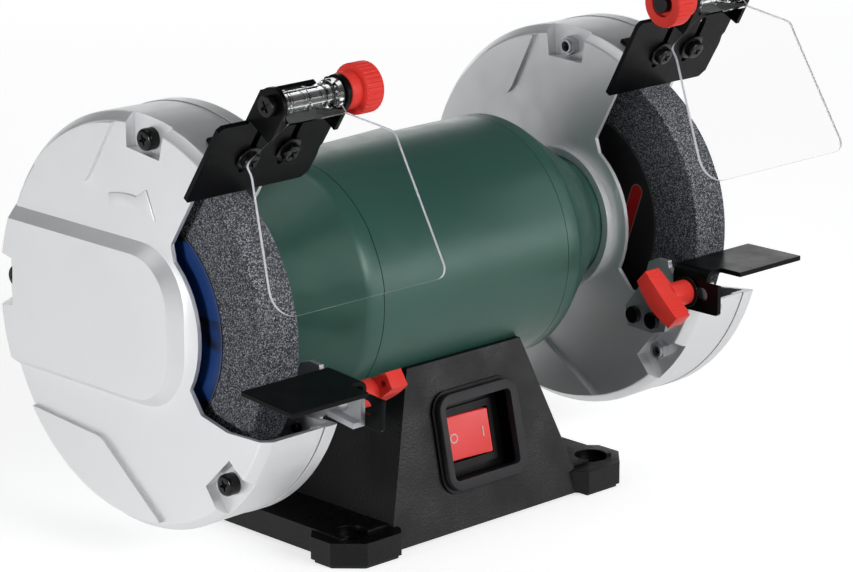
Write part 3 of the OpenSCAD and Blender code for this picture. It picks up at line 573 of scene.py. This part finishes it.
# copies of CAD nodes whose edges are rounded over, as castings, pressings and mouldings are
softened = {                # edge rounding in metres
    "base_housing": 0.0012, "left_tool_rest": 0.0004, "right_tool_rest": 0.0004,
    "left_spark_guard": 0.0003, "right_spark_guard": 0.0003, "left_guard_cover": 0.0012,
    "left_guard_inner": 0.0008, "right_guard_inner": 0.0012, "right_guard_cover": 0.0012,
    "left_rest_bracket": 0.0005, "right_rest_bracket": 0.0005, "left_wheel": 0.0008,
    "right_wheel": 0.0008, "left_end_bell": 0.0008, "right_end_bell": 0.0008,
    "cable_gland": 0.0005, "left_rest_bolt": 0.0003, "right_rest_bolt": 0.0003,
    "guard_nuts": 0.0003, "rest_bracket_screws": 0.0003, "neck_screws": 0.0002,
    "left_pivot_bolt": 0.0003, "right_pivot_bolt": 0.0003, "left_spark_bracket": 0.0003,
    "right_spark_bracket": 0.0003, "left_rest_washer": 0.0002, "right_rest_washer": 0.0002,
}
softening = {
    "weld": 0.00001,        # points closer than this become one
    "flat": 0.6,            # degrees between faces that become one
    "smooth": 40,           # degrees below which an edge is shaded smooth
}


def softenedCopy(node, width):
    source = frame["nodes"][node]
    piece = bpy.data.objects.new(node + "_soft", source.data.copy())
    bpy.context.collection.objects.link(piece)
    selectOnly(piece)
    bpy.ops.object.mode_set(mode='EDIT')
    bpy.ops.mesh.select_all(action='SELECT')
    bpy.ops.mesh.remove_doubles(threshold=softening["weld"])
    bpy.ops.mesh.dissolve_limited(angle_limit=math.radians(softening["flat"]))
    bpy.ops.mesh.normals_make_consistent(inside=False)
    leaveEdit()
    roundEdges(piece, width)
    evenShading(piece, softening["smooth"])
    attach(piece, source["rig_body"])
    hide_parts(node)
    return piece


for node, width in softened.items():
    dress(softenedCopy(node, width), nodeFinish[node])
print("rounded pieces ready")


# places of the guards, spark guards, shield pivots and tool rest bolts, as in the CAD
places = {
    "shaftHeight": 0.1115, "leftFace": -0.1512, "rightFace": 0.1105, "rightTurn": 5.0,
    "guardWidth": 0.0407, "sparkAngle": 57.0, "leftSparkShift": 0.0,
    "rightSparkShift": -0.0025, "sparkBack": -0.0008,
    "pivotOut": 0.0089, "pivotReach": 0.1338, "pivotMiddle": 0.02695,
    "leftRestBolt": (-0.086, -0.0236), "rightRestBolt": (-0.084, -0.0262), "restTilt": 4.5,
}


def shift(x, y, z):
    return Matrix.Translation((x, y, z))


def turnX(degrees):
    return Matrix.Rotation(math.radians(degrees), 4, 'X')


def guardPlace(side):
    turn = places["rightTurn"] if side == "right" else 0
    return shift(places[side + "Face"], 0, places["shaftHeight"]) @ turnX(-turn)


def sparkPlace(side):
    lean = turnX(90 - places["sparkAngle"])
    return guardPlace(side) @ lean @ shift(places[side + "SparkShift"], places["sparkBack"], 0)


def pivotPlace(side):
    at = shift(places["pivotMiddle"], -places["pivotOut"], places["pivotReach"])
    return sparkPlace(side) @ at


def mirrored(place, side):
    # what is drawn for the left, turned over about x = 0 for the right
    return place if side == "left" else place @ Matrix.Scale(-1, 4, (1, 0, 0))


def restPlace(side):
    wide = 0 if side == "left" else places["guardWidth"]
    motorSide = mirrored(guardPlace(side) @ shift(wide, 0, 0), side)
    return motorSide @ shift(0, *places[side + "RestBolt"]) @ turnX(places["restTilt"])


# clear eye shields: a moulded sheet that hangs from a tube between the ears of its spark guard
shield = {
    "thick": 0.0015, "neckHalf": 0.016, "flareFrom": 0.010, "topShort": 0.0015,
    "neckLong": 0.0228, "neckDrop": 48.0, "neckEnd": (-0.0461, 0.0355),
    "bendLong": 0.0054, "bendDrop": 79.5, "bendEnd": (-0.0440, 0.0370), "bendRound": 0.0016,
    "panelLong": 0.0581, "panelDrop": 70.0, "panelEnd": (-0.0508, 0.0461),
    "outerCorner": 0.013, "innerCorner": 0.006, "cornerOut": 0.03, "rimRound": 0.00025,
    "tube": 0.0046, "tubeHalf": 0.01635, "bore": 0.0026, "boreLong": 0.08,
    "collar": 0.0064, "collarLong": 0.0055, "collarRound": 0.0008,
    "ribsAt": (-0.0125, -0.002, 0.0072), "ribHigh": 0.0007, "ribLong": 0.0012,
    "round": 0.0072,        # faces this near to the pivot are the tube's
    "near": 0.0002,         # slack when a row of points is picked by its place
}


def widen(sheet, test, was, now):
    # takes the chosen row of points from one span along x to another
    editPoints(sheet, test)
    bpy.ops.transform.resize(value=((now[1] - now[0]) / (was[1] - was[0]), 1, 1),
                             center_override=((was[0] + was[1]) / 2, 0, 0))
    bpy.ops.transform.translate(value=((now[0] + now[1] - was[0] - was[1]) / 2, 0, 0))
    leaveEdit()


def growUp(sheet, test, by):
    editPoints(sheet, test)
    bpy.ops.mesh.extrude_region_move(TRANSFORM_OT_translate={"value": by})
    leaveEdit()


def shieldSheet(s):
    # grows from the panel's lower edge up to the pivot, then turns to its lean
    near = s["near"]
    deselectAll()
    bpy.ops.mesh.primitive_plane_add(size=1, location=(0, 0, -0.5), rotation=(math.pi / 2, 0, 0))
    sheet = applyPlace(bpy.context.object)
    sheet.scale = (1, 1, s["panelLong"])
    applyPlace(sheet)
    low = -s["panelLong"]
    widen(sheet, lambda co: co.z < low / 2, (-0.5, 0.5), s["panelEnd"])
    widen(sheet, lambda co: co.z > low / 2, (-0.5, 0.5), s["bendEnd"])
    for sign, size in ((-1, s["outerCorner"]), (1, s["innerCorner"])):
        editPoints(sheet, lambda co: co.z < low + near and co.x * sign > s["cornerOut"])
        bpy.ops.mesh.bevel(affect='VERTICES', offset=size, offset_type='OFFSET', segments=8)
        leaveEdit()
    bendTurn = math.radians(s["bendDrop"] - s["neckDrop"])
    down = s["bendLong"] * math.cos(bendTurn)
    back = s["bendLong"] * math.sin(bendTurn)
    neckLow = -s["neckLong"]
    bendLow = neckLow - down
    sheet.data.transform(shift(0, back, bendLow) @ turnX(s["panelDrop"] - s["neckDrop"]))
    growUp(sheet, lambda co: co.z > bendLow - near, (0, -back, down))
    widen(sheet, lambda co: co.z > neckLow - near, s["bendEnd"], s["neckEnd"])
    growUp(sheet, lambda co: co.z > neckLow - near, (0, 0, s["neckLong"] - s["flareFrom"]))
    top = (-s["neckHalf"], s["neckHalf"])
    widen(sheet, lambda co: co.z > -s["flareFrom"] - near, s["neckEnd"], top)
    growUp(sheet, lambda co: co.z > -s["flareFrom"] - near,
           (0, 0, s["flareFrom"] - s["topShort"]))

    def onBend(edge):
        return any(all(abs(z - level) < near for z in heights(sheet, edge))
                   for level in (bendLow, neckLow))

    bevelEdges(sheet, onBend, s["bendRound"], 4)
    addTwoSlots(sheet)
    useModifier(sheet, 'SOLIDIFY', thickness=s["thick"], offset=0.0, use_even_offset=True,
                material_offset_rim=1)
    roundEdges(sheet, s["rimRound"], 2, 50)
    sheet.data.transform(turnX(s["neckDrop"] - 90 - (90 - places["sparkAngle"])))
    return sheet


def addTwoSlots(obj):
    # one for the faces and one for the rim, so that the joins keep the rim's number
    for i in range(2):
        obj.data.materials.append(finishes["clearPlastic"])


def eyeShield(side):
    s = shield
    sheet = shieldSheet(s)
    tube = alongX(s["tube"], 2 * s["tubeHalf"], -s["tubeHalf"], sides=48)
    addTwoSlots(tube)
    collar = alongX(s["collar"], s["collarLong"], s["tubeHalf"] - s["collarLong"], sides=48)
    roundEdges(collar, s["collarRound"], 3, 50)
    combine(tube, collar, 'UNION')
    for x in s["ribsAt"]:   # stiffening ribs round the tube
        combine(tube, alongX(s["tube"] + s["ribHigh"], s["ribLong"], x, sides=48), 'UNION')
    combine(tube, sheet, 'UNION')
    combine(tube, alongX(s["bore"], s["boreLong"], -s["boreLong"] / 2, sides=32), 'DIFFERENCE')
    smoothByAngle(tube, 32)
    kinds = [2 if math.hypot(p.center.y, p.center.z) < s["round"] else min(p.material_index, 1)
             for p in tube.data.polygons]
    install(tube, side + "EyeShield", pivotPlace(side), side + "_shield", "clearPlastic",
            "clear_shield", side + "_eye_shield")
    # the rim faces get a milky grey: painted highlight that draws the sheet's bright edge line
    for finish in ("clearRimHighlight", "clearTube"):
        tube.data.materials.append(finishes[finish])
    for face, kind in zip(tube.data.polygons, kinds):
        face.material_index = kind


for side in sides:
    eyeShield(side)
print("eye shields ready")


# rest clamp knobs: a waisted bar on a round hub, with ribbed grips at both ends
restKnob = {
    "start": 0.0472, "hubLong": 0.011, "hubRadius": 0.0058, "hubRound": 0.0005,
    "barStart": 0.0575, "thick": 0.0106, "half": 0.0135, "width": 0.0096, "barRound": 0.0007,
    "bellyRadius": 0.0578, "sideRadius": 0.0916, "bellySides": 256, "cutterLong": 0.1,
    "ribs": (0.0073, 0.0089, 0.0105, 0.0121), "ribRadius": 0.00045, "ribOut": 0.0001,
    "ribLong": 0.02, "boltRadius": 0.00305, "boltDeep": 0.0135,
    "hole": -0.0093, "holeRadius": 0.0016, "holeDeep": 0.005,
    "overlap": 0.001,       # how far a cutter or a hub runs past the face it meets
    "left": -37.5, "right": 43.5,
}


def restKnobPiece(side):
    k = restKnob
    over, half = k["overlap"], k["width"] / 2
    end = k["barStart"] + k["thick"]
    bar = addBlock((k["thick"], 2 * k["half"], k["width"]), ((k["barStart"] + end) / 2, 0, 0))
    belly = addCylinder(k["bellyRadius"], k["cutterLong"], (end - k["bellyRadius"], 0, 0),
                        sides=k["bellySides"])
    combine(bar, belly, 'INTERSECT')
    for sign in (1, -1):
        wide = alongX(k["sideRadius"], k["cutterLong"], 0.0, 0.0, sign * (half - k["sideRadius"]),
                      k["bellySides"])
        combine(bar, wide, 'INTERSECT')
    roundEdges(bar, k["barRound"], 3, 50)
    for y in k["ribs"]:
        z = half - y * y / (2 * k["sideRadius"]) + k["ribOut"]
        for ySign in (1, -1):
            for zSign in (1, -1):
                groove = alongX(k["ribRadius"], k["ribLong"], k["barStart"] - 2 * over,
                                ySign * y, zSign * z, 12)
                combine(bar, groove, 'DIFFERENCE')
    hub = alongX(k["hubRadius"], k["hubLong"] + over, k["start"], sides=64)
    roundEdges(hub, k["hubRound"], 3, 50)
    combine(bar, hub, 'UNION')
    bolt = alongX(k["boltRadius"], k["boltDeep"], k["start"] - over, sides=32)
    combine(bar, bolt, 'DIFFERENCE')
    hole = alongX(k["holeRadius"], k["holeDeep"], k["barStart"] - over, k["hole"], 0, 24)
    combine(bar, hole, 'DIFFERENCE')
    smoothByAngle(bar, 32)
    install(bar, side + "RestKnob", restPlace(side) @ turnX(k[side]), side + "_rest_clamp",
            "redPlastic", "red_plastic", side + "_rest_knob")


# shield clamp knobs: a fluted rim, a hub towards the ear and a sunk bolt end
shieldKnob = {
    "start": 0.01895, "hubLong": 0.0062, "hubRadius": 0.008, "hubRound": 0.0006,
    "rimLong": 0.0094, "rimRadius": 0.0109, "rimRound": 0.0009, "rimBack": 0.0004,
    "flutes": 32, "fluteRadius": 0.0007, "fluteOut": 0.0002, "fluteLong": 0.02,
    "fluteBack": 0.004, "sinkRadius": 0.006, "sinkFrom": 0.0126, "sinkBack": 0.0002,
    "sinkLong": 0.02, "boltRadius": 0.00255, "boltLong": 0.03, "overlap": 0.001,
}


def shieldKnobPiece(side):
    k = shieldKnob
    rimStart = k["start"] + k["hubLong"] - k["rimBack"]
    rim = alongX(k["rimRadius"], k["rimLong"], rimStart, sides=192)
    roundEdges(rim, k["rimRound"], 3, 50)
    reach = k["rimRadius"] + k["fluteOut"]
    for i in range(k["flutes"]):
        a = 2 * math.pi * i / k["flutes"]
        flute = alongX(k["fluteRadius"], k["fluteLong"], rimStart - k["fluteBack"],
                       reach * math.cos(a), reach * math.sin(a), 12)
        combine(rim, flute, 'DIFFERENCE')
    hub = alongX(k["hubRadius"], k["hubLong"] + k["overlap"], k["start"], sides=64)
    roundEdges(hub, k["hubRound"], 3, 50)
    combine(rim, hub, 'UNION')
    sink = alongX(k["sinkRadius"], k["sinkLong"], k["start"] + k["sinkFrom"] - k["sinkBack"],
                  sides=48)
    combine(rim, sink, 'DIFFERENCE')
    bolt = alongX(k["boltRadius"], k["boltLong"], k["start"] - k["overlap"], sides=32)
    combine(rim, bolt, 'DIFFERENCE')
    smoothByAngle(rim, 32)
    install(rim, side + "ShieldKnob", mirrored(pivotPlace(side), side), side + "_shield_clamp",
            "redPlastic", "red_plastic", side + "_shield_knob")


for side in sides:
    restKnobPiece(side)
    shieldKnobPiece(side)
print("knobs ready")


# switch: bezel, a black ring of painted shade for its shadow gap, rocker and its two marks, drawn
# on the sloping panel
switch = {
    "foot": (-0.0615, 0.013), "lean": 12.51, "middle": 0.028,
    "bezel": (0.049, 0.044), "bezelLow": 0.0002, "bezelHigh": 0.0038, "bezelShift": 0.0012,
    "bezelRound": 0.008, "bezelSoft": 0.0005,
    "opening": (0.041, 0.0346), "openingShift": 0.0006, "openingRound": 0.0025,
    "bezelCut": -0.003, "wellCut": -0.0067, "cutHigh": 0.01,
    "well": (0.0458, 0.0408), "wellRound": 0.0064, "wellLow": -0.0085, "wellHigh": 0.0001,
    "rockerHole": (0.0276, 0.0226, 0.03),
    # gap and the ring sizes below draw the black ring round the bezel, which is painted shade for
    # its shadow gap
    "gap": 0.0015, "shadeRingLow": -0.0004, "shadeRingHigh": 0.0012, "shadeRingHole": (0.0462, 0.0412),
    "shadeRingRound": 0.0066,
}
rocker = {
    "size": (0.0246, 0.0202), "pivotDeep": 0.0115, "lift": 0.0063, "rest": 8.0, "dish": 0.083,
    "thick": 0.0105, "dishTop": 0.001, "soft": 0.0006, "print": 0.0004,
    "ring": (0.0023, 0.0016), "ringAt": -0.0078,
    "bar": (0.0007, 0.0045), "barAt": 0.0085, "barSoft": 0.0001,
}


def panelPlace():
    return (shift(0, *switch["foot"]) @ turnX(90 - switch["lean"])
            @ shift(0, switch["middle"], 0))


def roundedPlate(size, corner, low, high):
    # a flat plate with rounded corners, from height low to height high
    plate = addBlock((size[0], size[1], high - low), (0, 0, (low + high) / 2))

    def upright(edge):
        ends = heights(plate, edge)
        return max(ends) - min(ends) > 0.00001

    bevelEdges(plate, upright, corner, 10)
    return plate


def switchPieces():
    s = switch

    def openingCutter(low):
        cutter = roundedPlate(s["opening"], s["openingRound"], low, s["cutHigh"])
        return moved(cutter, s["openingShift"])

    bezel = roundedPlate(s["bezel"], s["bezelRound"], s["bezelLow"], s["bezelHigh"])
    moved(bezel, s["bezelShift"])
    roundEdges(bezel, s["bezelSoft"], 3, 50)
    combine(bezel, openingCutter(s["bezelCut"]), 'DIFFERENCE')
    smoothByAngle(bezel)
    well = roundedPlate(s["well"], s["wellRound"], s["wellLow"], s["wellHigh"])
    combine(well, openingCutter(s["wellCut"]), 'DIFFERENCE')
    combine(well, addBlock(s["rockerHole"]), 'DIFFERENCE')
    smoothByAngle(well)
    # a thin black ring just round the bezel: painted shade where the bezel's raised edge throws
    # its shadow gap
    wide = (s["bezel"][0] + 2 * s["gap"], s["bezel"][1] + 2 * s["gap"])
    shadeRing = roundedPlate(wide, s["bezelRound"] + s["gap"], s["shadeRingLow"], s["shadeRingHigh"])
    moved(shadeRing, s["bezelShift"] - s["gap"] / 2)
    hole = roundedPlate(s["shadeRingHole"], s["shadeRingRound"], -s["cutHigh"], s["cutHigh"])
    combine(shadeRing, hole, 'DIFFERENCE')
    smoothByAngle(shadeRing)
    for piece, name, finish, slotName in (
            (bezel, "switchBezel", "surroundPlastic", "surround_plastic"),
            (well, "switchWell", "blackPlastic", "switch_plastic"),
            (shadeRing, "switchShadeRing", "blackPlastic", "switch_plastic")):
        install(piece, name, panelPlace(), "machine", finish, slotName, "switch_surround")


def rockerPieces():
    r = rocker
    long, high = r["size"]
    dish, lift = r["dish"], r["lift"]

    def onDish(x):
        # the spot on the dished face, and the turn that lies flat there
        return (x, lift + x ** 2 / (2 * dish), 0), math.asin(x / dish)

    key = addBlock((long, r["thick"], high), (0, lift + r["dishTop"] - r["thick"] / 2, 0))
    combine(key, addCylinder(dish, 0.05, (0, lift + dish, 0), sides=360), 'DIFFERENCE')
    roundEdges(key, r["soft"], 3, 40)
    smoothByAngle(key)
    outer, inner = r["ring"]
    spot, lean = onDish(r["ringAt"])
    ring = addCylinder(outer, r["print"], spot, (math.pi / 2, 0, lean), 48)
    hole = addCylinder(inner, 0.01, (r["ringAt"], lift, 0), (math.pi / 2, 0, 0), 48)
    combine(ring, hole, 'DIFFERENCE')
    smoothByAngle(ring)
    spot, lean = onDish(r["barAt"])
    stroke = addBlock((r["bar"][0], r["print"], r["bar"][1]), spot, (0, 0, lean))
    roundEdges(stroke, r["barSoft"], 2, 50)
    turned = (panelPlace() @ shift(0, 0, -r["pivotDeep"]) @ turnX(90)
              @ Matrix.Rotation(math.radians(r["rest"]), 4, 'Z'))
    for piece, name, finish in ((key, "rockerKey", "redRocker"),
                                (ring, "rockerRingMark", "paleMark"),
                                (stroke, "rockerLineMark", "paleMark")):
        install(piece, name, turned, "rocker", finish, "red_rocker", "switch_rocker")


switchPieces()
rockerPieces()
print("switch ready")


# cross-head screws: domed black heads with their shanks
guardScrew = {
    "head": 0.0048, "high": 0.0054, "crown": 0.0014, "cross": (0.0048, 0.00095, 0.0022),
    "shank": 0.0023, "turn": 20.0, "angles": (83.5, 177.0, -45.6), "reach": 0.0823,
    "leftSeat": 0.005, "leftLong": 0.0395, "rightLong": 0.0385,
}
sparkScrew = {
    "head": 0.0042, "high": 0.0032, "crown": 0.0012, "cross": (0.0044, 0.0009, 0.0018),
    "shank": 0.0015, "turn": 30.0, "long": 0.0095, "along": (0.0174, 0.0394),
    "reach": 0.097, "front": -0.0026,
    "washer": 0.006, "washerHigh": 0.001, "washerRound": 0.0002,
    "nutFrom": 0.0025, "nutHigh": 0.0039, "nutWide": 0.00318, "nutRound": 0.0003,
}


def crossHead(g, high, long):
    # stands on z = 0 with its shank below
    crown = g["crown"]
    head = addCylinder(g["head"], high + 2 * crown, (0, 0, high / 2 - crown), sides=64)
    roundEdges(head, crown, 5, 50)
    combine(head, addBlock((0.05, 0.05, 0.02), (0, 0, -0.01)), 'DIFFERENCE')
    for angle in (g["turn"], g["turn"] + 90):
        blade = addBlock(g["cross"], (0, 0, high), (0, 0, math.radians(angle)))
        combine(head, blade, 'DIFFERENCE')
    deselectAll()
    bpy.ops.mesh.primitive_cone_add(vertices=24, radius1=0.0001, radius2=g["head"] * 0.3,
                                    depth=high * 0.5, location=(0, 0, high * 0.78))
    combine(head, applyPlace(bpy.context.object), 'DIFFERENCE')
    rise = 0.0005           # how far the shank runs up into the head
    shank = addCylinder(g["shank"], long + rise, (0, 0, rise / 2 - long / 2), sides=24)
    combine(head, shank, 'UNION')
    return head


def installScrews(screws, name, node):
    piece = joinPieces(*screws)
    smoothByAngle(piece, 40)
    install(piece, name, Matrix.Identity(4), "machine", "blackFastener", "steel_screws", node)


def guardScrewPieces():
    g = guardScrew
    done = []
    for side in sides:
        seat = g["leftSeat"] if side == "left" else places["guardWidth"]
        face = Matrix.Rotation(math.radians(-90 if side == "left" else 90), 4, 'Y')
        for angle in g["angles"]:
            screw = crossHead(g, g["high"], g[side + "Long"])
            a = math.radians(angle)
            spot = shift(seat, -g["reach"] * math.cos(a), g["reach"] * math.sin(a))
            screw.data.transform(guardPlace(side) @ spot @ face)
            done.append(screw)
    installScrews(done, "guardScrews", "guard_screws")


def sparkScrewPieces():
    g = sparkScrew
    done = []
    for side in sides:
        for x in g["along"]:
            screw = crossHead(g, g["high"] + g["washerHigh"], g["long"])
            washer = addCylinder(g["washer"], g["washerHigh"], (0, 0, g["washerHigh"] / 2),
                                 sides=48)
            roundEdges(washer, g["washerRound"], 2, 50)
            combine(screw, washer, 'UNION')
            low = g["front"] - g["nutFrom"] - g["nutHigh"]
            nut = addCylinder(g["nutWide"], g["nutHigh"], (0, 0, low + g["nutHigh"] / 2), sides=6)
            roundEdges(nut, g["nutRound"], 2, 50)
            combine(screw, nut, 'UNION')
            spot = shift(x, g["front"], g["reach"])
            screw.data.transform(sparkPlace(side) @ spot @ turnX(90))
            done.append(screw)
    installScrews(done, "sparkScrews", "spark_screws")


guardScrewPieces()
sparkScrewPieces()
print("screws ready")


# printed parts of the wheel labels: pale edge rings on both, and a bar on the right one
labelPrint = {
    "ring": (0.0495, 0.0491), "ringThick": 0.00006, "cutterLong": 0.01,
    "flange": 0.1231, "outer": 0.1443,
    "barCap": (-0.0373, 0.0164), "barWay": (0.331, -0.944), "barLong": 0.036,
    "barRadius": 0.00315, "barThick": 0.0001, "edge": 0.00045, "edgeThick": 0.00006,
}


def edgeRing(x, way):
    # lies on the label face at x and stands out along way
    p = labelPrint
    start = x if way > 0 else x - p["ringThick"]
    outer, inner = p["ring"]
    ring = alongX(outer, p["ringThick"], start, 0, places["shaftHeight"], 180)
    hole = alongX(inner, p["cutterLong"], x - p["cutterLong"] / 2, 0, places["shaftHeight"], 180)
    combine(ring, hole, 'DIFFERENCE')
    smoothByAngle(ring)
    return ring


def labelRings(side):
    p = labelPrint
    turn = -1 if side == "left" else 1
    rings = joinPieces(edgeRing(turn * p["flange"], -turn), edgeRing(turn * p["outer"], turn))
    install(rings, side + "LabelRings", Matrix.Identity(4), "rotor", "edgePrint",
            "blue_label" if side == "left" else "black_label")


def labelBar():
    # on the motor side of the right label, from its cap along its way
    p = labelPrint
    capY, capZ = p["barCap"]
    wayY, wayZ = p["barWay"]
    middle = p["barLong"] / 2
    axes = Matrix(((0, 0, -1, p["flange"]),
                   (wayY, wayZ, 0, capY + wayY * middle),
                   (wayZ, -wayY, 0, places["shaftHeight"] + capZ + wayZ * middle),
                   (0, 0, 0, 1)))
    for name, grow, thick, finish in (("Edge", p["edge"], p["edgeThick"], "greyPrint"),
                                      ("", 0.0, p["barThick"], "redPrint")):
        radius = p["barRadius"] + grow
        size = (p["barLong"] + 2 * radius, 2 * radius)
        bar = roundedPlate(size, radius - 0.00001, 0, thick)
        smoothByAngle(bar)
        install(bar, "rightLabelBar" + name, axes, "rotor", finish, "black_label")


# raised arrow on the left guard that shows which way the wheel turns
arrow = {
    "inner": 0.0504, "outer": 0.0567, "tail": 105.4, "tip": 71.1, "barb": (0.0616, 80.0),
    "notch": 85.9, "tailSlant": 0.6, "innerSteps": 12, "outerSteps": 6,
    "high": 0.0006, "sunk": 0.0004, "soft": 0.0003,
}


def arrowPiece():
    # the outline goes round as (reach from the shaft, angle)
    a = arrow
    inner = [(a["inner"], a["tail"] + (a["tip"] - a["tail"]) * i / a["innerSteps"])
             for i in range(a["innerSteps"] + 1)]
    outer = [(a["outer"], a["notch"] + (a["tail"] - a["tailSlant"] - a["notch"]) * i
              / a["outerSteps"]) for i in range(a["outerSteps"] + 1)]
    outline = inner + [a["barb"]] + outer
    deselectAll()
    bpy.ops.mesh.primitive_circle_add(vertices=len(outline), radius=0.01, fill_type='NGON')
    piece = bpy.context.object
    for point, (reach, angle) in zip(piece.data.vertices, outline):
        turn = math.radians(angle)
        point.co = (-a["high"], -reach * math.cos(turn), reach * math.sin(turn))
    editChosen(piece, "faces", lambda face: True)
    deep = a["high"] + a["sunk"]
    bpy.ops.mesh.extrude_region_move(TRANSFORM_OT_translate={"value": (deep, 0, 0)})
    bpy.ops.mesh.select_all(action='SELECT')
    bpy.ops.mesh.normals_make_consistent(inside=False)
    leaveEdit()
    roundEdges(piece, a["soft"], 3, 40)
    smoothByAngle(piece, 40)
    install(piece, "guardArrow", guardPlace("left"), "machine", "silverPaint", "silver_paint")


for side in sides:
    labelRings(side)
labelBar()
arrowPiece()
print("labels and arrow ready")
